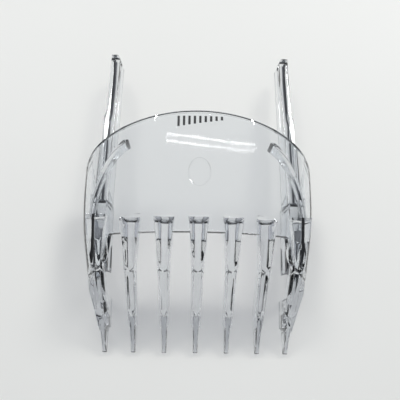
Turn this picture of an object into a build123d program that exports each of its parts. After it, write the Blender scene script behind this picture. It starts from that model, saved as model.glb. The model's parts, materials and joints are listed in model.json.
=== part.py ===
from build123d import *
from math import atan, cos, degrees, radians, sqrt
import os

# Clear adjustable-length clipper guard comb, in millimetres.
# The comb stands on its tooth tips and cheek edges: +Z is up, +Y runs from the tooth tips to the
# ends of the two arms, +X is to the right. The origin is the middle of the box on the ground.
# Inside the functions, y is the distance behind the tooth tips. The finished pieces are moved
# forward by half of the overall length as they are written.

# ---- overall sizes ----
overall_length = 71.0       # tooth tips to arm ends
half_width = 25.3           # middle to the outside of a cheek
crown_z = 22.4              # top of the hood
spring_z = 12.0             # height where the straight cheek turns into the arch
wall = 1.5                  # moulded wall

# ---- hood ----
hood_front_y = 23.0         # front edge between the teeth
rim_y = 50.0                # rear rim at the crown
rim_rake = 0.62             # how far the rear edge moves forward for each mm down
rim_radius = 100.0          # bow of the rear edge seen from above
collar_depth = 1.4          # the last stretch before the rear rim
collar_inset = 0.4          # stands in by this much
bar_depth = 3.8             # front strip of the hood that carries the teeth
seam_x = half_width - 4.7   # the hood meets the cheeks here
ring_y = 35.5               # centre of the oval ring mark
ring_radii = (2.2, 3.1)
ring_width = 0.3
ring_depth = 0.15

# ---- cheeks ----
taper_y = 34.0              # the cheeks draw in ahead of this
flank_y = 20.0              # with a bow to here, and straight from here on
flank_draw = 1.35           # how far a cheek has drawn in there
nose_y = 4.5                # front end of a cheek
nose_draw = 4.1             # and at its nose
cheek_drop = 0.4            # cheek edge below the ridge of the outer tooth

# ---- teeth ----
tooth_pitch = 7.0
inner_teeth = 5
outer_tooth_x = half_width - 4.5  # outer teeth at the crease
outer_lean = 0.4            # they close in by this much at the tips
ridge_tip = (0.0, 1.1)      # ridge points: distance behind the tips, height
ridge_knot = (7.6, 8.3)
ridge_crease = (15.9, 17.1)
ridge_front = (hood_front_y, crown_z - 1.1)
ridge_root = (hood_front_y + 3.4, crown_z)
keel_nose = (0.9, 0.0)      # the runner touches the ground from here
keel_heel = (11.6, 0.0)     # to here
keel_step = (12.6, 4.4)
keel_root = (hood_front_y + 0.4, 14.8)
inner_heel = (9.5, 0.0)     # inner teeth: from here the underside runs straight to the root
tip_lift = 0.35             # underside of the very tip
wing_y = 5.3                # the wide body ends here in two small wings
wing_step = 0.35
tip_width = 1.0
neck_width = 1.4
knot_width = 2.0
body_width = 2.5
root_width = 4.3
root_strip_narrower = 0.2
strip_narrower = 0.7        # flat top strip, less wide than the body
strip_narrowest = 0.35      # but by no more than this share of it
strip_depth = 1.9           # strip down to the widest line
widest_share = 0.4          # the widest line stays this share of the height above the keel
keel_width = 1.5
foot_extra = 0.45           # outer teeth: thicker foot on the inner side

# ---- guide ribs under the hood ----
rib_width = 1.2
rib_rear = (half_width - 9.1, rim_y - 6.0)
rib_middle = (half_width - 4.7, rim_y - 12.0)
rib_front = (half_width - 2.4, hood_front_y + 4.0)
rib_clearance = 1.2         # above the arm at its pivot

# ---- arm blocks and arms ----
arm_outer_x = 22.45
arm_inner_x = 19.9
arm_step = 0.45             # outer face steps in by this much
arm_step_y = 53.0
arm_step_run = 2.0
arm_slope = 0.098           # the arms sink this much for each mm to the rear
arm_root_top_z = 12.7       # at the pivot
arm_root_height = 6.4
arm_height = 5.5            # at the far end
arm_end_bevel = 0.5
arm_end_run = 1.0           # length of that bevel
block_front_y = hood_front_y - 5.4  # behind the foot of the outer tooth
block_rear_y = 33.0
block_shoulder_y = hood_front_y + 2.5
block_shoulder_drop = 0.6
block_front_z = 8.6
block_bottom_z = 2.6
pivot_y = 38.7              # where the flexing arm turns
pivot_clearance = 0.05
pivot_setback = 0.35        # end of the fixed stub, ahead of the pivot
under_bevel_end = 1.1       # 45 degree bevel under the outer edge, at the far end
under_bevel_root = 2.2      # and at the pivot and along the block
rail_y = (46.0, overall_length - 3.5)
rail_height = 1.4
rail_out = 0.4
nub_y = overall_length - 1.6
nub_radius = 1.3
nub_out = 0.35
nub_height = 3.2

# ---- printed size mark ----
mark_y = 47.0               # middle of the mark
mark_height = 2.4           # the tallest tick
mark_ink = 0.05
tick_count = 9
tick_pitch = 1.15
tick_line = 0.5
tick_shortest = 0.36        # share of the mark's height
tick_growth = 0.08          # each tick is taller by this share

big = 100.0                 # cutting blocks reach past everything
spare = 1.0                 # shorter reach past a face


def block(x_range, y_range, z_range):
    low = (x_range[0], y_range[0], z_range[0])
    size = [b - a for a, b in (x_range, y_range, z_range)]
    return Pos(*low) * Box(*size, align=(Align.MIN, Align.MIN, Align.MIN))


def side_prism(points, x_range):
    """A solid with the given outline of (y, z) points between two x values."""
    face = Plane.YZ.offset(x_range[0]) * make_face(Polyline(*points, close=True))
    return extrude(face, x_range[1] - x_range[0])


def plan_prism(edges, z_range):
    """A solid with the given outline of (x, y) edges between two z values."""
    face = Plane.XY.offset(z_range[0]) * make_face(edges)
    return extrude(face, z_range[1] - z_range[0])


def arch(inset):
    """Everything inside the arch of hood and cheeks, drawn in by inset on all sides."""
    width = half_width - inset
    rise = crown_z - spring_z - inset
    outline = Polyline((-width, spring_z), (-width, -inset), (width, -inset), (width, spring_z))
    outline += EllipticalCenterArc((0, spring_z), width, rise, start_angle=0, arc_size=180)
    tunnel = extrude(Plane.XZ * make_face(outline), -big)
    edge = Line((0, big), (width, big))
    edge += Line((width, big), (width, taper_y))
    flank = (width - flank_draw, flank_y)
    nose = (width - nose_draw, nose_y)
    edge += TangentArc((width, taper_y), flank, tangent=(0, -1))
    edge += Polyline(flank, nose, (nose[0], -spare), (0, -spare), (0, big))
    half_plan = plan_prism(edge, (-spare - inset, big))
    return tunnel & (half_plan + mirror(half_plan, Plane.YZ))


def between(y, start, end):
    """Height or width at y on the straight line from start to end, both (y, value)."""
    share = (y - start[0]) / (end[0] - start[0])
    return start[1] + share * (end[1] - start[1])


def ridge_z(y, sink=0.0):
    """Height of a tooth's ridge. Off the middle the ridge sinks towards its root with the hood."""
    points = (ridge_tip, ridge_knot, ridge_crease, ridge_front, ridge_root)
    height = ridge_root[1]
    for start, end in zip(points, points[1:]):
        if y <= end[0]:
            height = between(y, start, end)
            break
    share = max(0.0, between(y, (ridge_knot[0], 0), (ridge_root[0], 1)))
    return height - sink * share**2


def keel_z(y, outer):
    heel = (keel_heel, keel_step) if outer else (inner_heel,)
    points = ((0.0, tip_lift), keel_nose, *heel, keel_root)
    for start, end in zip(points, points[1:]):
        if y <= end[0]:
            return between(y, start, end)
    return keel_root[1]


def body_width_at(y):
    if y <= wing_y:
        return between(y, (0.0, tip_width), (wing_y, neck_width))
    if y <= ridge_crease[0]:
        return between(y, (wing_y, knot_width), (ridge_crease[0], body_width))
    return between(y, (ridge_crease[0], body_width), (ridge_root[0], root_width))


def strip_width_at(y):
    if y <= ridge_crease[0]:
        return body_width_at(y) - min(strip_narrower, strip_narrowest * body_width_at(y))
    crease_strip = body_width - strip_narrower
    return between(y, (ridge_crease[0], crease_strip), (ridge_root[0], root_width - root_strip_narrower))


def tooth_section(y, centre_x, foot, sink, outer):
    top, low = ridge_z(y, sink), keel_z(y, outer)
    widest = max(top - strip_depth, low + widest_share * (top - low))
    body, strip = body_width_at(y), strip_width_at(y)
    keel = min(keel_width, body)
    points = [
        (-strip / 2, top),
        (-body / 2, widest),
        (-keel / 2 - foot, low),
        (keel / 2, low),
        (body / 2, widest),
        (strip / 2, top),
    ]
    placed = [(centre_x + x, z) for x, z in points]
    return Plane.XZ.offset(-y) * make_face(Polyline(*placed, close=True))


def tooth(centre_x, lean=0.0, foot_thickening=0.0, sink=0.0, outer=False):
    """One tooth as flat-sided stretches between cross-sections, tip first."""
    heel = (keel_heel, keel_step) if outer else (inner_heel,)
    points = (keel_nose, ridge_knot, *heel, ridge_crease, ridge_front, keel_root, ridge_root)
    stations = {0.0, wing_y, wing_y + wing_step, *[point[0] for point in points]}
    sections = []
    for y in sorted(stations):
        close_in = lean * max(0.0, 1 - y / ridge_crease[0])
        foot = foot_thickening if wing_y < y <= keel_heel[0] else 0.0
        sections.append(tooth_section(y, centre_x - close_in, foot, sink, outer))
    return loft(sections, ruled=True) & arch(0)


def hood_drop(x):
    """How far the outside of the arch has dropped at x."""
    rise = crown_z - spring_z
    return rise * (1 - sqrt(1 - (x / half_width) ** 2))


def rear_bow():
    """Everything ahead of the rear edge: a large cylinder that leans back with the rake."""
    lean = degrees(atan(rim_rake))
    drum = Pos(0, -rim_radius * cos(radians(lean)), 0) * Cylinder(rim_radius * cos(radians(lean)), 2 * big)
    return Pos(0, rim_y, crown_z) * Rot(-lean, 0, 0) * drum


def shell_envelope():
    """The moulded wall of hood and cheeks as one, before it is divided."""
    ridge = [ridge_knot, ridge_crease, ridge_front]
    sloping = [(y, z - cheek_drop) for y, z in ridge]
    nose_top = (nose_y, between(nose_y, ridge_tip, ridge_knot) - cheek_drop)
    outline = [(nose_y, 0), nose_top, *sloping, (hood_front_y, crown_z + spare)]
    outline += [(big, crown_z + spare), (big, 0)]
    skin = (arch(0) - arch(wall)) & side_prism(outline, (-big, big)) & rear_bow()
    collar = (arch(0) - arch(collar_inset)) - Pos(0, -collar_depth, 0) * rear_bow()
    return skin - collar


def facet_cutter(centre_x):
    """What is above a tooth's top strip where it runs out on the hood."""
    front = strip_width_at(hood_front_y)
    y_range = (hood_front_y, ridge_root[0])
    sections = []
    for y, width in zip(y_range, (front, root_width - root_strip_narrower)):
        low = ridge_z(y, hood_drop(centre_x))
        high = crown_z + spare
        corners = [(-width / 2, low), (width / 2, low), (width / 2, high), (-width / 2, high)]
        placed = [(centre_x + x, z) for x, z in corners]
        sections.append(Plane.XZ.offset(-y) * make_face(Polyline(*placed, close=True)))
    return loft(sections, ruled=True)


def ring_groove():
    wide, long = ring_radii
    ring = Ellipse(wide, long) - Ellipse(wide - ring_width, long - ring_width)
    return extrude(Pos(0, ring_y, crown_z - ring_depth) * ring, spare)


def guide_rib():
    """Curved wall under the hood that closes in to the rear, for the right side."""
    outer = (rib_front, rib_middle, rib_rear)
    inner = [(x - rib_width, y) for x, y in reversed(outer)]
    edge = ThreePointArc(*outer) + Line(outer[-1], inner[0])
    edge += ThreePointArc(*inner) + Line(inner[-1], outer[0])
    rib_bottom_z = arm_root_top_z + rib_clearance
    return plan_prism(edge, (rib_bottom_z, crown_z)) & arch(wall) & rear_bow()


def arm_top(y):
    return arm_root_top_z - arm_slope * (y - pivot_y)


def arm_bottom(y):
    root = (pivot_y, arm_root_top_z - arm_root_height)
    return between(y, root, (overall_length, arm_top(overall_length) - arm_height))


def under_bevel(stations):
    """What a 45 degree bevel takes off a lower outer edge, through (y, x, z, size) stations."""
    sections = []
    for y, x, z, size in stations:
        corners = [(x - size, z), (x, z + size), (x + spare, z + size), (x + spare, z - spare),
                   (x - size, z - spare)]
        sections.append(Plane.XZ.offset(-y) * make_face(Polyline(*corners, close=True)))
    return loft(sections, ruled=True)


def arm_bevel():
    far_outer_x = arm_outer_x - arm_step
    backs = (block_rear_y, arm_step_y, arm_step_y + arm_step_run, overall_length + spare)
    stations = []
    for y, x in zip(backs, (arm_outer_x, arm_outer_x, far_outer_x, far_outer_x)):
        size = between(y, (pivot_y, under_bevel_root), (overall_length, under_bevel_end))
        stations.append((y, x, arm_bottom(max(y, pivot_y)), size))
    return under_bevel(stations)


def arm_block():
    """Fixed root of the right arm, between the cheek wall and the bay for the clipper head."""
    stub_y = pivot_y - pivot_setback
    outline = [(block_front_y, block_bottom_z), (block_front_y, block_front_z),
               (block_shoulder_y, arm_top(block_shoulder_y) - block_shoulder_drop),
               (block_rear_y, arm_top(block_rear_y)),
               (block_rear_y, block_bottom_z)]
    body = side_prism(outline, (arm_inner_x, big)) & arch(wall)
    stub_outline = [(block_rear_y, arm_bottom(pivot_y)), (block_rear_y, arm_top(block_rear_y)),
                    (stub_y, arm_top(stub_y)), (stub_y, arm_bottom(pivot_y))]
    stub = side_prism(stub_outline, (arm_inner_x, arm_outer_x))
    seat_radius = (arm_outer_x - arm_inner_x) / 2 + pivot_clearance
    seat = Pos((arm_inner_x + arm_outer_x) / 2, pivot_y, 0) * Cylinder(seat_radius, big)
    inside_x = half_width - wall
    body -= under_bevel([(y, inside_x, block_bottom_z, under_bevel_root) for y in (-spare, block_rear_y)])
    return body + (stub - seat - arm_bevel())


def arm():
    """The flexing part of the right arm, with a half-round root at its pivot."""
    far_inner_x = arm_inner_x + arm_end_bevel
    far_outer_x = arm_outer_x - arm_step
    step_end_y = arm_step_y + arm_step_run
    radius = (arm_outer_x - arm_inner_x) / 2
    edge = ThreePointArc((arm_inner_x, pivot_y), (arm_inner_x + radius, pivot_y - radius),
                         (arm_outer_x, pivot_y))
    edge += Polyline((arm_outer_x, pivot_y), (arm_outer_x, arm_step_y), (far_outer_x, step_end_y),
                     (far_outer_x, overall_length), (far_inner_x, overall_length),
                     (arm_inner_x, overall_length - arm_end_run), (arm_inner_x, pivot_y))
    plan = plan_prism(edge, (-spare, big))
    front_y = pivot_y - radius
    outline = [(front_y, arm_bottom(front_y)), (front_y, arm_top(front_y)),
               (overall_length, arm_top(overall_length)),
               (overall_length, arm_bottom(overall_length))]
    return (plan & side_prism(outline, (0, big))) - arm_bevel()


def arm_rail():
    """Low rail along the inner face of the right arm."""
    outline = []
    for y, sign in ((rail_y[0], -1), (rail_y[0], 1), (rail_y[1], 1), (rail_y[1], -1)):
        middle = (arm_top(y) + arm_bottom(y)) / 2
        outline.append((y, middle + sign * rail_height / 2))
    return side_prism(outline, (arm_inner_x - rail_out, arm_inner_x))


def click_nub():
    """Rounded bump at the far end of the right arm's inner face."""
    middle = (arm_top(nub_y) + arm_bottom(nub_y)) / 2
    centre_x = arm_inner_x - nub_out + nub_radius
    bump = Pos(centre_x, nub_y, middle) * Cylinder(nub_radius, nub_height)
    return bump & block((0, arm_inner_x), (0, big), (0, big))


def size_mark():
    """Printed row of ticks that grow from the short setting to the long one, read from the rear."""
    span = (tick_count - 1) * tick_pitch
    ticks = []
    for i in range(tick_count):
        height = mark_height * (tick_shortest + tick_growth * i)
        centre = Pos(i * tick_pitch - span / 2, (height - mark_height) / 2)
        ticks.append(centre * Rectangle(tick_line, height))
    prism = extrude(Pos(0, mark_y, spring_z) * Rot(0, 0, 180) * Sketch(children=ticks), big / 2)
    return prism & (arch(-mark_ink) - arch(0))


def write(name, shape):
    placed = Pos(0, -overall_length / 2, 0) * shape
    placed.label = name
    export_step(placed, f"parts/{name}.step")
    print(f"{name}: {len(placed.solids())} solid, {placed.volume:.1f} mm3")


def mirrored(shape):
    return mirror(shape, Plane.YZ)


os.makedirs("parts", exist_ok=True)
shell = shell_envelope()
inner_x = [(i - (inner_teeth - 1) / 2) * tooth_pitch for i in range(inner_teeth)]
outer_tooth = tooth(outer_tooth_x, outer_lean, foot_extra, outer=True)
bar_teeth = [tooth(x, sink=hood_drop(x)) - shell for x in inner_x]

bar_y = (hood_front_y, hood_front_y + bar_depth)
skin = shell & block((-seam_x, seam_x), (hood_front_y, big), (0, big))
hood = skin & block((-big, big), (bar_y[1], big), (0, big))
tooth_bar = skin & block((-big, big), bar_y, (0, big))
for x in inner_x:
    tooth_bar -= facet_cutter(x)

cheek = (shell - block((-big, seam_x), (-spare, big), (-spare, big))) - outer_tooth
side_tooth = outer_tooth - tooth_bar
teeth = [mirrored(side_tooth), *bar_teeth, side_tooth]
pieces = {
    "hood": hood - ring_groove(),
    "tooth_bar": tooth_bar,
    "size_mark": size_mark(),
    "right_cheek": cheek,
    "left_cheek": mirrored(cheek),
    "right_guide_rib": guide_rib(),
    "right_arm_block": arm_block(),
    "right_arm": arm(),
    "right_arm_rail": arm_rail(),
    "right_click_nub": click_nub(),
}
for name in ("guide_rib", "arm_block", "arm", "arm_rail", "click_nub"):
    pieces[f"left_{name}"] = mirrored(pieces[f"right_{name}"])
for i, solid in enumerate(teeth):
    pieces[f"tooth_{i + 1}"] = solid
for name, shape in pieces.items():
    write(name, shape)
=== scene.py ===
# %% [markdown]
# # A clear guard comb for a hair clipper
# The real comb is one injection moulding of clear polycarbonate, with one mark printed on its hood.
# A clear object shows every inner face, so the looks are built as few closed meshes: one for the
# moulding, one for each flexing arm and one for the ink. The CAD nodes give their sizes and places.

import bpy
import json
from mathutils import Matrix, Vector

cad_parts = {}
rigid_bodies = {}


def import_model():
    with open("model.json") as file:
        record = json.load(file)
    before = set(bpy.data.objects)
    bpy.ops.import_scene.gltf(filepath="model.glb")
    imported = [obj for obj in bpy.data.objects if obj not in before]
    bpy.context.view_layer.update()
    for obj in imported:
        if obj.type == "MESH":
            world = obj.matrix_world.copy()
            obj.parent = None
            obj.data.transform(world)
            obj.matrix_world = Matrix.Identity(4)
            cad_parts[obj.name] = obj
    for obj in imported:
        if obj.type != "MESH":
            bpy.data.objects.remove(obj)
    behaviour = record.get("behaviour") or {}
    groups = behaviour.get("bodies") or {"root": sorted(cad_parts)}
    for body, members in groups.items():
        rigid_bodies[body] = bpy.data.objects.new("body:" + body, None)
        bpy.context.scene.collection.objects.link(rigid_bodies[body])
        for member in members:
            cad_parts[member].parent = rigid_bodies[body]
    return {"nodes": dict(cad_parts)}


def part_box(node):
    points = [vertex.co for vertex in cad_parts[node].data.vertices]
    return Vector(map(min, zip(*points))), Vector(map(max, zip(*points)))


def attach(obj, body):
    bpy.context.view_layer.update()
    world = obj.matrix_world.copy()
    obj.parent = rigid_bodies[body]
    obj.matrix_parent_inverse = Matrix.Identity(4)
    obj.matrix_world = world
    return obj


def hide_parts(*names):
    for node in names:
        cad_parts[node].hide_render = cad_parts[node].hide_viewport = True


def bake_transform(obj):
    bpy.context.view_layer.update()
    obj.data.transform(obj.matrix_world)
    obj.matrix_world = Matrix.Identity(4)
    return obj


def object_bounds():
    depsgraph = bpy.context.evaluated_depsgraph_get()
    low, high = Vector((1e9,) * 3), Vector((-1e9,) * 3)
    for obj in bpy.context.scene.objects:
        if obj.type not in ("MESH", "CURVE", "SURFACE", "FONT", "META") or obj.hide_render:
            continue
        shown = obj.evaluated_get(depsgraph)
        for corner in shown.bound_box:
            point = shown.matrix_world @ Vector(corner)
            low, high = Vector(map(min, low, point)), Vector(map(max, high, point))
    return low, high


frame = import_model()
cad_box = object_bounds()

# %% [markdown]
# ## Driving sizes
# Lengths are in metres, and `MM` turns millimetres into them. Everything that the CAD model settles is
# read from its nodes: the width, the crown of the hood, its front edge and the middle of each tooth.
# Distances called `back` are measured from the tooth tips towards the arms, as a comb maker would.

# %% Sizes read from the frame
import json
from math import cos, pi, radians, sin, sqrt

import bpy
from mathutils import Matrix, Vector

MM = 0.001


def size_of(node):
    low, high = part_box(node)
    return Vector(low), Vector(high)


hood_high = size_of("hood")[1]
bar_low = size_of("tooth_bar")[0]
cheek_high = size_of("right_cheek")[1]
arm_low, arm_high = size_of("right_arm")
block_low = size_of("right_arm_block")[0]
rib_low = size_of("right_guide_rib")[0]
mark_low, mark_high = size_of("size_mark")
tips_y = cad_box[0][1]
half_width = cheek_high.x
crown_z = hood_high.z
front_back = bar_low.y - tips_y
rim_back = hood_high.y - tips_y
seam_x = hood_high.x
tooth_names = sorted(n for n in frame["nodes"] if n.startswith("tooth_") and n != "tooth_bar")
print(f"half width {half_width / MM:.1f} mm, crown {crown_z / MM:.1f} mm, {len(tooth_names)} teeth")

# %% [markdown]
# ## Small helpers
# Edit-mode operators act on what is selected, so a new piece always starts with nothing selected.
# `loft` makes a solid the way it is done by hand: a circle primitive becomes the first cross-section,
# and each extrude becomes the next one.

# %% Helpers for meshes
import bmesh


def nothing_selected():
    if bpy.context.object and bpy.context.object.mode != "OBJECT":
        bpy.ops.object.mode_set(mode="OBJECT")
    bpy.ops.object.select_all(action="DESELECT")


def only(obj):
    nothing_selected()
    obj.select_set(True)
    bpy.context.view_layer.objects.active = obj


def place_ring(obj, ring):
    """Puts the selected corners, in their order, on the points of a cross-section."""
    mesh = bmesh.from_edit_mesh(obj.data)
    mesh.verts.ensure_lookup_table()
    chosen = [v for v in mesh.verts if v.select]
    for corner, point in zip(chosen, ring):
        corner.co = point
    bmesh.update_edit_mesh(obj.data)


def loft(name, rings):
    nothing_selected()
    bpy.ops.mesh.primitive_circle_add(vertices=len(rings[0]), radius=1, fill_type="NGON")
    obj = bpy.context.object
    obj.name = name
    bpy.ops.object.mode_set(mode="EDIT")
    place_ring(obj, rings[0])
    for ring in rings[1:]:
        bpy.ops.mesh.extrude_region()
        place_ring(obj, ring)
    bpy.ops.mesh.select_all(action="SELECT")
    bpy.ops.mesh.normals_make_consistent(inside=False)
    bpy.ops.object.mode_set(mode="OBJECT")
    return obj


print("loft helpers ready")

# %% [markdown]
# Modifiers do the rest: a bevel rounds edges, and an exact boolean joins a piece or takes one away.
# `open_edges` counts the edges that do not have two faces. A solid has none, and glass needs a solid,
# because light that enters has to find a way out.

# %% Helpers for joining and finishing
def apply_modifier(obj, kind, **settings):
    only(obj)
    modifier = obj.modifiers.new(kind.lower(), kind)
    for key, value in settings.items():
        setattr(modifier, key, value)
    bpy.ops.object.modifier_apply(modifier=modifier.name)
    return obj


def round_edges(obj, width, angle=30, segments=2):
    return apply_modifier(obj, "BEVEL", width=width, segments=segments, limit_method="ANGLE",
                          angle_limit=radians(angle), harden_normals=False)


def combine(obj, tool, operation):
    """Joins a tool on to the piece, or takes it away, and removes the tool."""
    apply_modifier(obj, "BOOLEAN", operation=operation, object=tool, solver="EXACT")
    bpy.data.objects.remove(tool)
    return obj


def open_edges(obj):
    mesh = bmesh.new()
    mesh.from_mesh(obj.data)
    count = sum(1 for edge in mesh.edges if len(edge.link_faces) != 2)
    mesh.free()
    return count


def smooth(obj, angle=32):
    only(obj)
    bpy.ops.object.shade_smooth_by_angle(angle=radians(angle))
    return obj


def triangles(obj):
    return sum(len(p.vertices) - 2 for p in obj.data.polygons)


print("joining helpers ready")

# %% [markdown]
# ## The shape of the arch
# Seen from behind, hood and cheeks are one wall: straight cheeks that turn into half an ellipse.
# Seen from above, the cheeks draw in towards the tips, and the rear rim bows. These few functions
# describe that form, and every piece that meets the wall uses them.

# %% The arch as functions
SPRING_Z = 12.0 * MM       # height where the straight cheek turns into the ellipse
WALL = 1.5 * MM            # thickness of the moulded wall
RIM_RAKE = 0.62            # how far the rim comes forward for each unit down
RIM_RADIUS = 100 * MM      # bow of the rim
TAPER_BACK = 34 * MM       # the cheeks draw in ahead of this
FLANK_BACK = 20 * MM
FLANK_DRAW = 1.35 * MM
NOSE_BACK = 4.5 * MM
NOSE_DRAW = 4.1 * MM
rise = crown_z - SPRING_Z


def between(at, start, end):
    share = (at - start[0]) / (end[0] - start[0])
    return start[1] + share * (end[1] - start[1])


def draw_in(back):
    """How far the cheeks have drawn in at this distance behind the tips."""
    if back >= TAPER_BACK:
        return 0.0
    if back >= FLANK_BACK:
        return FLANK_DRAW * ((TAPER_BACK - back) / (TAPER_BACK - FLANK_BACK)) ** 2
    return between(back, (NOSE_BACK, NOSE_DRAW), (FLANK_BACK, FLANK_DRAW))


def hood_z(x, inset=0.0):
    """Height of the hood's outside over x, or of a surface that lies inset inside it."""
    share = min(1.0, abs(x) / (half_width - inset))
    return SPRING_Z + (rise - inset) * sqrt(1 - share**2)


def rim_at(x, z):
    return rim_back - RIM_RAKE * (crown_z - z) - x**2 / (2 * RIM_RADIUS)


# The ridge of a tooth, as (back, height) points from the tip to the root.
RIDGE = [(0.0, 1.1 * MM), (7.6 * MM, 8.3 * MM), (15.9 * MM, 17.1 * MM),
         (front_back, crown_z - 1.1 * MM), (front_back + 3.4 * MM, crown_z)]
KEEL_ROOT = (front_back + 0.4 * MM, 14.8 * MM)
RUNNER_LIFT = 0.01 * MM    # keeps the outer runners off the plane of the cheeks' lower edges
OUTER_KEEL = [(0.0, 0.35 * MM), (0.9 * MM, RUNNER_LIFT), (11.6 * MM, RUNNER_LIFT),
              (12.6 * MM, 4.4 * MM), KEEL_ROOT]
INNER_KEEL = [(0.0, 0.35 * MM), (0.9 * MM, 0.0), (9.5 * MM, 0.0), KEEL_ROOT]
KNOT, CREASE, ROOT = RIDGE[1], RIDGE[2], RIDGE[4]


def follow(points, back):
    for start, end in zip(points, points[1:]):
        if back <= end[0]:
            return between(back, start, end)
    return points[-1][1]


def ridge_z(back, sink=0.0):
    share = max(0.0, between(back, (KNOT[0], 0), (ROOT[0], 1)))
    return follow(RIDGE, back) - sink * share**2


def ridge_back(z):
    """Where the ridge has this height."""
    for start, end in zip(RIDGE, RIDGE[1:]):
        if z <= end[1]:
            return max(0.0, between(z, (start[1], start[0]), (end[1], end[0])))
    return ROOT[0]


print(f"hood at 14 mm off the middle: {hood_z(14 * MM) / MM:.2f} mm high")

# %% [markdown]
# ## Hood and cheeks
# This wall is a sheet wrapped over a former, so it starts as a flat grid. Each column of the grid is
# laid along the arch from one foot to the other, and each row runs from the front edge to the rim.
# Solidify then gives the wall its thickness inwards, and a fine bevel rounds its edges, because a
# moulded edge is never sharp and its rounding is what catches the light.

# %% Wrap the sheet
COLUMNS = 151
ROWS = 37
CHEEK_DROP = 0.4 * MM
COLLAR = 1.4 * MM          # the last stretch before the rim
COLLAR_INSET = 0.4 * MM    # stands in by this much
TURN_WIDTH = 1.6 * MM      # the front edge turns down the cheek within this width
WALL_ROUNDING = 0.22 * MM
CUT_SPARE = 1 * MM         # a cutting sheet reaches this far past the wall


def arch_point(share, inset=0.0, foot=0.0):
    """x and z on the outside of the arch, share of the way from the left foot to the right one."""
    curve = pi * (half_width + rise) / 2
    leg = SPRING_Z + foot
    travel = share * (curve + 2 * leg)
    if travel < leg:
        return inset - half_width, travel - foot
    if travel > leg + curve:
        return half_width - inset, curve + 2 * leg - travel - foot
    angle = pi * (travel - leg) / curve
    return (inset - half_width) * cos(angle), SPRING_Z + (rise - inset) * sin(angle)


def front_at(x, z):
    """Front edge of the wall: straight across the hood, and along the ridge down each cheek."""
    sloping = max(NOSE_BACK, ridge_back(z + CHEEK_DROP))
    turn = min(1.0, max(0.0, (abs(x) - (seam_x - TURN_WIDTH)) / TURN_WIDTH))
    turn = turn * turn * (3 - 2 * turn)
    return front_back + (sloping - front_back) * turn


def wrapped_sheet(name, thickness, front, rear, inset=0.0, foot=0.0):
    nothing_selected()
    bpy.ops.mesh.primitive_grid_add(x_subdivisions=COLUMNS - 1, y_subdivisions=ROWS - 1, size=2)
    sheet = bpy.context.object
    sheet.name = name
    for corner in sheet.data.vertices:
        x, z = arch_point((corner.co.x + 1) / 2, inset, foot)
        back = between(corner.co.y, (-1, front(x, z)), (1, rear(x, z)))
        corner.co = (x * (1 - draw_in(back) / half_width), tips_y + back, z)
    only(sheet)
    bpy.ops.object.mode_set(mode="EDIT")
    bpy.ops.mesh.select_all(action="SELECT")
    bpy.ops.mesh.normals_make_consistent(inside=False)
    bpy.ops.object.mode_set(mode="OBJECT")
    top = max(sheet.data.polygons, key=lambda p: p.center.z)
    if top.normal.z < 0:
        sheet.data.flip_normals()
    return apply_modifier(sheet, "SOLIDIFY", thickness=thickness, offset=-1, use_even_offset=True)


def collar_front(x, z):
    return rim_at(x, z) - COLLAR


def past_rim(x, z):
    return rim_at(x, z) + COLLAR


def make_wall():
    wall = round_edges(wrapped_sheet("moulding", WALL, front_at, rim_at), WALL_ROUNDING, angle=50)
    over = wrapped_sheet("over_collar", CUT_SPARE + COLLAR_INSET, collar_front, past_rim,
                         -CUT_SPARE, CUT_SPARE)
    return combine(wall, over, "DIFFERENCE")


moulding = make_wall()
print("wall:", triangles(moulding), "triangles")

# %% [markdown]
# ## Teeth
# A comb tooth is a fin: a narrow flat strip on its ridge, its widest line a little lower, where the two
# halves of the mould part, and a narrower runner below that glides on the skin. The last stretch is a
# thin tip, and the wide body ends in two small rounded wings beside it. One loft makes such a fin, and
# all seven teeth share it. The widths are lists of (back, width), read off between their points.

# %% Cross-section of a tooth
STRIP_DEPTH = 1.9 * MM
KEEL_WIDTH = 1.5 * MM
WING_BACK = 5.3 * MM
BODY = [(0.0, 1.0 * MM), (WING_BACK, 1.3 * MM), (5.6 * MM, 1.9 * MM), (6.4 * MM, 2.2 * MM),
        (CREASE[0], 2.6 * MM), (ROOT[0], 4.3 * MM)]
STRIP = [(0.0, 0.6 * MM), (WING_BACK, 0.9 * MM), (KNOT[0], 1.35 * MM), (CREASE[0], 1.7 * MM),
         (18 * MM, 2.2 * MM), (ROOT[0], 4.1 * MM)]
SCOOP = 0.42 * MM          # the strip drops by this at the crease, and again at the knot
SCOOP_RUN = 0.18 * MM
BOW = 0.50 * MM            # how far the sides of that drop lie behind its middle
HOLLOW = 0.05 * MM         # the strip is this hollow across
BURY = 0.5 * MM            # the root runs this deep under the hood's skin
RECOVERED = 3 * MM         # ahead of this the ridge is back on its straight line
BOW_REACH = 1.2 * MM       # the bow fades out within this distance
WIDEST_SHARE = 0.4         # the widest line stays this share of the height above the runner


def tooth_top(back, sink):
    """The ridge, with its two small drops, and buried where the hood's own facet shows instead."""
    height = ridge_z(back, sink)
    if back < CREASE[0]:
        height -= SCOOP * min(1.0, (CREASE[0] - back) / SCOOP_RUN)
    if back < KNOT[0]:
        height -= SCOOP * min(1.0, (KNOT[0] - back) / SCOOP_RUN)
        height += 2 * SCOOP * min(1.0, (KNOT[0] - back) / (KNOT[0] - RECOVERED))
    if back > front_back:
        height -= BURY * (back - front_back) / (ROOT[0] - front_back)
    return height


def bow_at(back):
    """The bow of the strip's cross-section, at the crease and the knot only."""
    near = min(abs(back - CREASE[0]), abs(back - KNOT[0]))
    return BOW * max(0.0, 1 - near / BOW_REACH)


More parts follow.
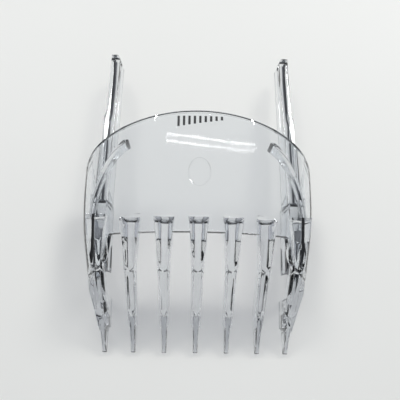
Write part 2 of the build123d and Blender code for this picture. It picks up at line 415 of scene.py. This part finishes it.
def tooth_ring(back, middle, sink, foot, keel_line):
    top, low = tooth_top(back, sink), follow(keel_line, back)
    widest = max(top - STRIP_DEPTH, low + WIDEST_SHARE * (top - low))
    body, strip = follow(BODY, back), follow(STRIP, back)
    keel = min(KEEL_WIDTH, body)
    inward = -1 if middle > 0 else 1
    corners = [(-body / 2, back, widest), (-keel / 2, back, low), (keel / 2, back, low),
               (body / 2, back, widest)]
    for share in (1.0, 0.6, 0.0, -0.6, -1.0):
        bowed = back + bow_at(back) * share**2
        corners.append((share * strip / 2, bowed, top - HOLLOW * (1 - share**2)))
    ring = []
    for x, y, z in corners:
        thicker = foot if z == low and x * inward > 0 else 0.0
        ring.append((middle + x + inward * thicker, tips_y + y, z))
    return ring


print(f"strip at the crease: {follow(STRIP, CREASE[0]) / MM:.2f} mm wide")

# %% [markdown]
# The two outer teeth close in a little towards their tips, have a thicker foot on the inner side and a
# step in their runner. The others sink towards the root as the hood falls away from its crown.

# %% Make the teeth
TOOTH_ROUNDING = 0.1 * MM
OUTER_LEAN = 0.4 * MM
OUTER_FOOT = 0.45 * MM
JOIN_SPARE = 0.04 * MM     # keeps an outer tooth's faces off the cheek's, so the two join cleanly
OUTER_INSET = 4.5 * MM + JOIN_SPARE


def make_tooth(name, middle, lean, foot, sink, keel_line):
    backs = {p[0] for p in RIDGE + keel_line + BODY + STRIP}
    for edge in (CREASE[0], KNOT[0]):
        backs |= {edge - BOW_REACH, edge - SCOOP_RUN, edge + BOW_REACH}
    rings = []
    for back in sorted(backs):
        close_in = lean * max(0.0, 1 - back / CREASE[0])
        side = 1 if middle > 0 else -1
        thick = foot if WING_BACK < back <= OUTER_KEEL[2][0] else 0.0
        rings.append(tooth_ring(back, middle - side * close_in, sink, thick, keel_line))
    return round_edges(loft(name, rings), TOOTH_ROUNDING, angle=24)


def tooth_middle(node):
    low, high = size_of(node)
    return (low.x + high.x) / 2


teeth = []
for name in tooth_names:
    middle = tooth_middle(name)
    if name in (tooth_names[0], tooth_names[-1]):
        middle = (half_width - OUTER_INSET) * (1 if middle > 0 else -1)
        teeth.append(make_tooth(f"{name}_fin", middle, OUTER_LEAN, OUTER_FOOT, 0.0, OUTER_KEEL))
    else:
        sink = crown_z - hood_z(middle)
        teeth.append(make_tooth(f"{name}_fin", middle, 0.0, 0.0, sink, INNER_KEEL))
print("teeth:", len(teeth), "of", triangles(teeth[0]), "triangles")

# %% [markdown]
# ## Guide ribs, facets and the ring mark
# Under the hood a thin rib on each side closes in to the rear and centres the clipper's head. On top,
# each tooth runs out in a shallow facet, and a faint oval ring is left by the mould. The ribs are added
# and the facets and the ring are taken away before everything is fused.

# %% Add and take away
RIB_WIDTH = 1.2 * MM
RIB_REAR = (half_width - 9.1 * MM, rim_back - 6.0 * MM)
RIB_MIDDLE = (half_width - 4.7 * MM, rim_back - 12.0 * MM)
RIB_FRONT = (half_width - 2.4 * MM, front_back + 4.0 * MM)
RING_BACK = 35.5 * MM
RING_RADII = (2.2 * MM, 3.1 * MM)
RING_WIDTH = 0.3 * MM
RING_DEPTH = 0.15 * MM
RIB_STEPS = 12
FACET_HIGH = 4 * MM        # a facet wedge reaches past the hood's skin
BITE = 0.5 * MM            # how far a joined piece reaches into the wall
FACET_SPARE = 0.03 * MM    # keeps a facet's sides off the faces of its tooth


def through_three(first, second, third, share):
    """A point on the smooth curve that passes three points, share of the way along it."""
    near, far = 2 * (share - 0.5) * (share - 1), 2 * share * (share - 0.5)
    middle = 4 * share * (1 - share)
    return [near * a + middle * b + far * c for a, b, c in zip(first, second, third)]


def make_rib(side):
    """A curved wall whose top edge is buried in the hood."""
    rings = []
    for step in range(RIB_STEPS + 1):
        x, back = through_three(RIB_FRONT, RIB_MIDDLE, RIB_REAR, step / RIB_STEPS)
        inner = x - RIB_WIDTH
        top = hood_z(x, WALL - BITE)
        corners = [(inner, rib_low.z), (x, rib_low.z), (x, top), (inner, hood_z(inner, WALL - BITE))]
        rings.append([(side * px, tips_y + back, pz) for px, pz in corners])
    return round_edges(loft("rib", rings), 0.3 * MM, angle=50)


def make_facet(middle):
    """A wedge that holds what is above a tooth's strip where it runs out on the hood."""
    rings = []
    sink = crown_z - hood_z(middle)
    for back in (front_back - 1 * MM, front_back, ROOT[0] + 0.4 * MM):
        width = follow(STRIP, back) / 2 + FACET_SPARE
        low = between(back, (front_back, RIDGE[3][1]), RIDGE[4]) - sink - FACET_SPARE / 2
        high = low + FACET_HIGH
        corners = [(-width, low), (width, low), (width, high), (-width, high)]
        rings.append([(middle + x, tips_y + back, z) for x, z in corners])
    return loft("facet", rings)


print("rib runs from", [round(v / MM, 1) for v in RIB_FRONT], "to", [round(v / MM, 1) for v in RIB_REAR])

# %% Fuse the moulding
def make_ring_tool():
    nothing_selected()
    place = (0, tips_y + RING_BACK, crown_z)
    bpy.ops.mesh.primitive_torus_add(location=place, major_segments=48, minor_segments=8,
                                     major_radius=1, minor_radius=RING_WIDTH / 2 / RING_RADII[0])
    tool = bpy.context.object
    tool.scale = (RING_RADII[0], RING_RADII[1], RING_RADII[0] * 2 * RING_DEPTH / RING_WIDTH)
    bpy.ops.object.transform_apply(location=True, rotation=True, scale=True)
    return tool


combine(moulding, make_ring_tool(), "DIFFERENCE")
for name in tooth_names[1:-1]:
    combine(moulding, make_facet(tooth_middle(name)), "DIFFERENCE")
for side in (-1, 1):
    combine(moulding, make_rib(side), "UNION")
for tooth in teeth:
    combine(moulding, tooth, "UNION")
smooth(moulding)
print("moulding:", triangles(moulding), "triangles,", open_edges(moulding), "open edges")

# %% [markdown]
# ## Snap arms
# Each arm is a solid bar that grows out of a thick block inside the cheek. It is thinner behind a small
# step, it carries a low rail along its inner face, and a rounded nub near its end clicks into the
# clipper. Block and arm are one mesh here, because the real ones are one clear bar with no joint to
# see.

# %% Sizes of an arm
ARM_INNER = arm_low.x
ARM_OUTER = arm_high.x
PIVOT_BACK = arm_low.y - tips_y + (ARM_OUTER - ARM_INNER) / 2
END_BACK = arm_high.y - tips_y
ARM_SLOPE = 0.098
ROOT_HEIGHT = 6.4 * MM
END_HEIGHT = 5.5 * MM
STEP_BACK = 53 * MM
STEP_RUN = 2 * MM
STEP = 0.45 * MM
END_BEVEL = 0.5 * MM
END_RUN = 1 * MM           # the end's bevel starts this far before it
UNDER_END = 1.1 * MM       # bevel under the outer edge, at the far end
UNDER_ROOT = 2.2 * MM      # and at the pivot and along the block
INNER_LEAN = 0.4 * MM      # the inner face leans by this much
PIVOT_TOP = 12.7 * MM      # height of the top at the pivot
BAR_START = 31 * MM        # the bar reaches this far into the block


def arm_top(back):
    return PIVOT_TOP - ARM_SLOPE * (back - PIVOT_BACK)


def arm_bottom(back):
    root = (PIVOT_BACK, arm_top(PIVOT_BACK) - ROOT_HEIGHT)
    return between(back, root, (END_BACK, arm_top(END_BACK) - END_HEIGHT))


print(f"arm: {(END_BACK - PIVOT_BACK) / MM:.1f} mm from pivot to end")

# %% [markdown]
# Block and bar are both lofts. A bevel of 45 degrees runs under their outer edge from end to end. From
# above it mirrors the dark side of the room, and that gives each arm its dark line.

# %% Block and bar
BLOCK_GAP = 0.06 * MM      # the block stays this far from the cheek wall
BLOCK_FRONT_TOP = 8.6 * MM
BLOCK_SHOULDER = front_back + 2.5 * MM
BLOCK_SHOULDER_DROP = 0.6 * MM
BLOCK_REAR = 33 * MM
BLOCK_LEAN = 0.15 * MM     # the outer face leans in by this much at the top


def block_rings(side):
    low = block_low.z
    spans = [(block_low.y - tips_y, BLOCK_FRONT_TOP),
             (BLOCK_SHOULDER, arm_top(BLOCK_SHOULDER) - BLOCK_SHOULDER_DROP),
             (BLOCK_REAR, arm_top(BLOCK_REAR))]
    rings = []
    for back, high in spans:
        outer = half_width - draw_in(back) - WALL - BLOCK_GAP
        corners = [(ARM_INNER, low), (outer - UNDER_ROOT, low), (outer, low + UNDER_ROOT),
                   (outer, min(high, SPRING_Z)), (outer - BLOCK_LEAN, high), (ARM_INNER, high)]
        rings.append([(side * x, tips_y + back, z) for x, z in corners])
    return rings


def bar_rings(side):
    """Stations are (back, how far the outer face has stepped in, how far the inner one is bevelled)."""
    stations = [(BAR_START, 0, 0), (STEP_BACK, 0, 0), (STEP_BACK + STEP_RUN, STEP, 0),
                (END_BACK - END_RUN, STEP, 0), (END_BACK, STEP, END_BEVEL)]
    rings = []
    for back, stepped, bevelled in stations:
        inner, outer = ARM_INNER + bevelled, ARM_OUTER - stepped
        low, high = arm_bottom(max(back, PIVOT_BACK)), arm_top(back)
        under = between(back, (PIVOT_BACK, UNDER_ROOT), (END_BACK, UNDER_END))
        corners = [(inner - INNER_LEAN, low), (outer - under, low), (outer, low + under),
                   (outer, high), (inner, high)]
        rings.append([(side * x, tips_y + back, z) for x, z in corners])
    return rings


def make_arm(side, name):
    arm = round_edges(loft(name, block_rings(side)), 0.2 * MM, angle=30)
    bar = round_edges(loft("bar", bar_rings(side)), 0.12 * MM, angle=30)
    return combine(arm, bar, "UNION")


print(f"block: {(BLOCK_REAR - (block_low.y - tips_y)) / MM:.1f} mm long")

# %% Rail and nub
RAIL_HALF = 0.7 * MM       # half the rail's height
RAIL_CHAMFER = 0.2 * MM
NUB_RADIUS = 1.3 * MM


def make_rail(side):
    rail_low, rail_high = size_of("right_arm_rail")
    rings = []
    for y in (rail_low.y, rail_high.y):
        middle = (arm_top(y - tips_y) + arm_bottom(y - tips_y)) / 2
        face = RAIL_HALF - RAIL_CHAMFER
        corners = [(rail_low.x, middle - face), (rail_high.x + BITE, middle - RAIL_HALF),
                   (rail_high.x + BITE, middle + RAIL_HALF), (rail_low.x, middle + face)]
        rings.append([(side * x, y, z) for x, z in corners])
    return round_edges(loft("rail", rings), 0.1 * MM, angle=30)


def make_nub(side):
    """A short upright cylinder, mostly inside the arm, with rounded rims."""
    nub_low, nub_high = size_of("right_click_nub")
    nothing_selected()
    place = (side * (nub_low.x + NUB_RADIUS), (nub_low.y + nub_high.y) / 2, (nub_low.z + nub_high.z) / 2)
    bpy.ops.mesh.primitive_cylinder_add(vertices=48, radius=NUB_RADIUS, depth=nub_high.z - nub_low.z,
                                        location=place)
    nub = bpy.context.object
    bpy.ops.object.transform_apply(location=True, rotation=True, scale=True)
    return round_edges(nub, 0.3 * MM, angle=40, segments=3)


arms = {}
for label, side in (("left", -1), ("right", 1)):
    arm = make_arm(side, f"{label}_clear_arm")
    combine(arm, make_rail(side), "UNION")
    combine(arm, make_nub(side), "UNION")
    arms[label] = smooth(arm)
    print(label, "arm:", triangles(arm), "triangles,", open_edges(arm), "open edges")

# %% [markdown]
# ## Printed size mark
# A plain row of ticks that grow from the short setting to the long one. It is pad-printed: a soft pad
# presses a film of ink on the hood, so the ink follows the curve and has no relief of its own. The
# row is read from the rear, so it is laid out flat the other way round and then draped on the hood.

# %% Print the mark
MARK_BACK = (mark_low.y + mark_high.y) / 2 - tips_y
MARK_HEIGHT = mark_high.y - mark_low.y
INK = 0.03 * MM
INK_LIFT = 0.004 * MM      # the film starts this far above the hood's skin
TICKS = 9
TICK_PITCH = 1.15 * MM
TICK_WIDTH = 0.5 * MM
TICK_SHORTEST = 0.36       # share of the mark's height
TICK_GROWTH = 0.08         # each tick is taller by this share


def tick(index):
    height = MARK_HEIGHT * (TICK_SHORTEST + TICK_GROWTH * index)
    nothing_selected()
    x = (index - (TICKS - 1) / 2) * TICK_PITCH
    bpy.ops.mesh.primitive_grid_add(x_subdivisions=2, y_subdivisions=4, size=1,
                                    location=(x, (height - MARK_HEIGHT) / 2, 0))
    mark = bpy.context.object
    mark.scale = (TICK_WIDTH, height, 1)
    return mark


def join_flat(pieces, name):
    nothing_selected()
    for piece in pieces:
        piece.select_set(True)
    bpy.context.view_layer.objects.active = pieces[0]
    bpy.ops.object.transform_apply(location=True, rotation=True, scale=True)
    bpy.ops.object.join()
    bpy.context.object.name = name
    return bpy.context.object


def make_mark():
    mark = join_flat([tick(i) for i in range(TICKS)], "printed_mark")
    for corner in mark.data.vertices:
        x, y = -corner.co.x, tips_y + MARK_BACK - corner.co.y
        corner.co = (x, y, hood_z(x) + INK_LIFT)
    if sum(p.normal.z for p in mark.data.polygons) < 0:
        mark.data.flip_normals()
    return apply_modifier(mark, "SOLIDIFY", thickness=INK, offset=1)


mark = make_mark()
print("mark:", TICKS, "ticks,", triangles(mark), "triangles")

# %% [markdown]
# ## Materials
# Two real materials: clear polycarbonate from a polished mould, and black pad-printing ink. Colours are
# written as they look on a screen, in sRGB, and one function turns them into what a shader works with.

# %% Material helpers
def linear(hex_colour):
    """An sRGB hex value as the linear colour that a shader works with."""
    channels = [int(hex_colour[i:i + 2], 16) / 255 for i in (1, 3, 5)]
    return (*[c / 12.92 if c <= 0.04045 else ((c + 0.055) / 1.055) ** 2.4 for c in channels], 1.0)


def add_node(tree, kind, settings=None, links=None):
    """One shader node with its input values or properties, and the sockets that feed it."""
    node = tree.nodes.new(kind)
    for key, value in (settings or {}).items():
        if isinstance(key, int) or key in node.inputs:
            node.inputs[key].default_value = value
        else:
            setattr(node, key, value)
    for key, source in (links or {}).items():
        tree.links.new(source, node.inputs[key])
    return node


def new_material(name):
    material = bpy.data.materials.new(name)
    material.use_nodes = True
    tree = material.node_tree
    tree.nodes.clear()
    return material, tree


print("mid grey is", round(linear("#808080")[0], 3), "in linear light")

# %% [markdown]
# Polycarbonate bends light more than window glass does, and that is what makes its edges dark and
# lively. A path tracer finds light through glass by chance only, so for shadows and for light on the
# table the wall is treated as a thin clear sheet, which gives the pale shadow of a real one.

# %% Clear polycarbonate
def clear_polycarbonate():
    """Injection-moulded clear polycarbonate: glossy, IOR 1.585, with a cool cast in thick places."""
    material, tree = new_material("injection moulded clear polycarbonate")
    place = add_node(tree, "ShaderNodeTexCoord")
    ripple = add_node(tree, "ShaderNodeTexNoise", {"Scale": 260, "Detail": 2},
                      {"Vector": place.outputs["Object"]})
    spread = {"From Min": 0.3, "From Max": 0.7, "To Min": 0.01, "To Max": 0.05}
    gloss = add_node(tree, "ShaderNodeMapRange", spread, {"Value": ripple.outputs["Fac"]})
    bump = add_node(tree, "ShaderNodeBump", {"Strength": 0.15, "Distance": 0.00002},
                    {"Height": ripple.outputs["Fac"]})
    body = add_node(tree, "ShaderNodeBsdfPrincipled",
                    {"Base Color": linear("#f4f6f8"), "IOR": 1.585, "Transmission Weight": 1.0},
                    {"Roughness": gloss.outputs["Result"], "Normal": bump.outputs["Normal"]})
    # Light crosses a wall almost whole, and less where it only grazes it, so edges cast a shadow.
    edge = add_node(tree, "ShaderNodeLayerWeight", {"Blend": 0.5})
    grazing = add_node(tree, "ShaderNodeMath", {"operation": "POWER", 1: 3.0},
                       {0: edge.outputs["Facing"]})
    shade = add_node(tree, "ShaderNodeMix", {"data_type": "RGBA", 6: linear("#f6f6f7"), 7: linear("#b5b8bc")},
                     {"Factor": grazing.outputs["Value"]})
    through = add_node(tree, "ShaderNodeBsdfTransparent", {}, {"Color": shade.outputs[2]})
    rays = add_node(tree, "ShaderNodeLightPath")
    soft = add_node(tree, "ShaderNodeMath", {"operation": "MAXIMUM"},
                    {0: rays.outputs["Is Shadow Ray"], 1: rays.outputs["Is Diffuse Ray"]})
    both = add_node(tree, "ShaderNodeMixShader", {},
                    {0: soft.outputs["Value"], 1: body.outputs["BSDF"], 2: through.outputs["BSDF"]})
    add_node(tree, "ShaderNodeOutputMaterial", {}, {"Surface": both.outputs["Shader"]})
    return material


clear = clear_polycarbonate()
for piece in (moulding, *arms.values()):
    piece.data.materials.clear()
    piece.data.materials.append(clear)
print("material:", clear.name)

# %% [markdown]
# The ink lies on the plastic as a dense, slightly rough film. The pad leaves a mottle of about a
# quarter of a millimetre in it.

# %% Printing ink
def black_ink():
    """Pad-printing ink: dense black, satin, with the fine mottle that the pad leaves."""
    material, tree = new_material("black pad-printing ink")
    place = add_node(tree, "ShaderNodeTexCoord")
    mottle = add_node(tree, "ShaderNodeTexNoise", {"Scale": 4000, "Detail": 3},
                      {"Vector": place.outputs["Object"]})
    shade = add_node(tree, "ShaderNodeMix", {"data_type": "RGBA", 6: linear("#0c0c0e"), 7: linear("#1c1c1f")},
                     {"Factor": mottle.outputs["Fac"]})
    ink = add_node(tree, "ShaderNodeBsdfPrincipled", {"Roughness": 0.45},
                   {"Base Color": shade.outputs[2]})
    add_node(tree, "ShaderNodeOutputMaterial", {}, {"Surface": ink.outputs["BSDF"]})
    return material


ink = black_ink()
mark.data.materials.clear()
mark.data.materials.append(ink)
print("material:", ink.name)

# %% [markdown]
# ## Which body the moulding and the ink follow
# The moulding and the ink ride on the comb's body. The arms keep their place, and the CAD nodes that
# they stand for are hidden.

# %% Ride, and hide the CAD nodes
ring_nodes = ["hood", "tooth_bar", "left_cheek", "right_cheek", "left_guide_rib", "right_guide_rib"]
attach(moulding, "moulding")
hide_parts(*ring_nodes, *tooth_names)
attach(mark, "moulding")
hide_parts("size_mark")
for label, arm in arms.items():
    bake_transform(arm)
    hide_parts(f"{label}_arm_block", f"{label}_arm", f"{label}_arm_rail", f"{label}_click_nub")

# %% [markdown]
# ## Stage
# A pale table, soft light from above and a camera that looks steeply down from the tooth side.
# Clear plastic shows only what is around it, so the room matters as much as the material: bright
# table, dimmer walls near the horizon, and a lamp that the hood can mirror.

# %% Table
def make_table():
    nothing_selected()
    bpy.ops.mesh.primitive_plane_add(size=1.6, location=(0, 0, -0.02 * MM))
    table = bpy.context.object
    table.name = "table"
    material, tree = new_material("matt white laminate")
    place = add_node(tree, "ShaderNodeTexCoord")
    grain = add_node(tree, "ShaderNodeTexNoise", {"Scale": 9, "Detail": 3},
                     {"Vector": place.outputs["Object"]})
    tone = add_node(tree, "ShaderNodeMix", {"data_type": "RGBA", 6: linear("#e9e9e4"), 7: linear("#eeeeea")},
                    {"Factor": grain.outputs["Fac"]})
    paint = add_node(tree, "ShaderNodeBsdfPrincipled", {"Roughness": 0.6},
                     {"Base Color": tone.outputs[2]})
    add_node(tree, "ShaderNodeOutputMaterial", {}, {"Surface": paint.outputs["BSDF"]})
    table.data.materials.append(material)


make_table()
print("table set")

# %% [markdown]
# The room is dark at the horizon and pale above. Two square lamps behind the comb light it, and a long
# fitting of bright dots hangs where the hood mirrors it into the camera.

# %% Room and lamps
def make_room():
    world = bpy.data.worlds.new("room")
    bpy.context.scene.world = world
    world.use_nodes = True
    tree = world.node_tree
    tree.nodes.clear()
    place = add_node(tree, "ShaderNodeTexCoord")
    split = add_node(tree, "ShaderNodeSeparateXYZ", {}, {"Vector": place.outputs["Generated"]})
    ramp = add_node(tree, "ShaderNodeValToRGB", {}, {"Fac": split.outputs["Z"]})
    ramp.color_ramp.elements[0].position = 0.1
    ramp.color_ramp.elements[0].color = linear("#0d1016")
    ramp.color_ramp.elements[1].position = 0.8
    ramp.color_ramp.elements[1].color = linear("#b4b7bd")
    sky = add_node(tree, "ShaderNodeBackground", {"Strength": 1.0}, {"Color": ramp.outputs["Color"]})
    add_node(tree, "ShaderNodeOutputWorld", {}, {"Surface": sky.outputs["Background"]})


def lamp(name, place, aim, size, power, colour="#ffffff"):
    data = bpy.data.lights.new(name, "AREA")
    data.shape = "RECTANGLE"
    data.size, data.size_y = size
    data.energy = power
    data.color = linear(colour)[:3]
    lamp_object = bpy.data.objects.new(name, data)
    bpy.context.scene.collection.objects.link(lamp_object)
    lamp_object.location = place
    toward = Vector(aim) - Vector(place)
    lamp_object.rotation_euler = toward.to_track_quat("-Z", "Y").to_euler()
    lamp_object.visible_transmission = False
    return lamp_object


FITTING_LENGTH = 0.93      # metres, as are all sizes of the fitting
FITTING_WIDTH = 0.018
FITTING_X = 0.18
FITTING_Y = 0.437
FITTING_HEIGHT = 1.0
FITTING_BOW = 0.2          # it bows with the square of the distance from BOW_MIDDLE
BOW_MIDDLE = -0.10
DOT_PITCH = 0.024
DOT_RADIUS = 0.0035
DOT_END = 0.016            # the last dot closes the row this far past its end


def lamp_dots():
    """A long fitting with a closed row of small bright dots."""
    half = FITTING_LENGTH / 2
    count = int(FITTING_LENGTH / DOT_PITCH)
    spots = [(i * DOT_PITCH - half, side * FITTING_WIDTH / 2) for i in range(count + 1) for side in (-1, 1)]
    spots += [(-half - DOT_END, 0), (half + DOT_END, 0)]
    material, tree = new_material("bright lamp dot")
    shine = add_node(tree, "ShaderNodeEmission", {"Strength": 26.0})
    add_node(tree, "ShaderNodeOutputMaterial", {}, {"Surface": shine.outputs["Emission"]})
    nothing_selected()
    for x, y in spots:
        bowed = FITTING_Y + FITTING_BOW * (x - BOW_MIDDLE) ** 2 + y
        bpy.ops.mesh.primitive_circle_add(vertices=8, radius=DOT_RADIUS, fill_type="NGON",
                                          location=(x + FITTING_X, bowed, FITTING_HEIGHT))
        dot = bpy.context.object
        dot.scale = (1.6, 0.6, 1)
        dot.data.materials.append(material)
        dot.name = "lamp_dot"
    nothing_selected()
    dots = [o for o in bpy.data.objects if o.name.startswith("lamp_dot")]
    for dot in dots:
        dot.select_set(True)
    bpy.context.view_layer.objects.active = dots[0]
    bpy.ops.object.join()


make_room()
lamp("right_lamp", (0.38, 0.49, 0.60), (0, 0, 0), (0.20, 0.20), 3.5)
lamp("left_lamp", (-0.27, 0.50, 0.66), (0, 0, 0), (0.20, 0.20), 2.45)
lamp_dots()
print("stage set")

# %% Camera
CAMERA_PLACE = (-2.2 * MM, tips_y - 0.1 * MM, 118.7 * MM)
LOOK_DOWN = radians(72.86)
TURN = radians(4.53)
ROLL = radians(5.48)


LENS = 45                  # millimetres, on a sensor 36 mm wide
SENSOR = 36


def make_camera():
    data = bpy.data.cameras.new("camera")
    data.sensor_width = SENSOR
    data.lens = LENS
    data.clip_start = 0.005
    camera = bpy.data.objects.new("camera", data)
    bpy.context.scene.collection.objects.link(camera)
    ahead = Vector((sin(TURN) * cos(LOOK_DOWN), cos(TURN) * cos(LOOK_DOWN), -sin(LOOK_DOWN)))
    right = Vector((cos(TURN), -sin(TURN), 0))
    up = right.cross(ahead)
    side = cos(ROLL) * right + sin(ROLL) * up
    top = -sin(ROLL) * right + cos(ROLL) * up
    turn = Matrix((side, top, -ahead)).transposed().to_4x4()
    camera.matrix_world = Matrix.Translation(CAMERA_PLACE) @ turn
    bpy.context.scene.camera = camera


make_camera()
bpy.context.scene.view_settings.view_transform = "Standard"
print(f"camera {CAMERA_PLACE[2] / MM:.1f} mm above the table")

# %% Size of the CAD model
print("CAD box", [[round(v / MM, 2) for v in c] for c in cad_box])
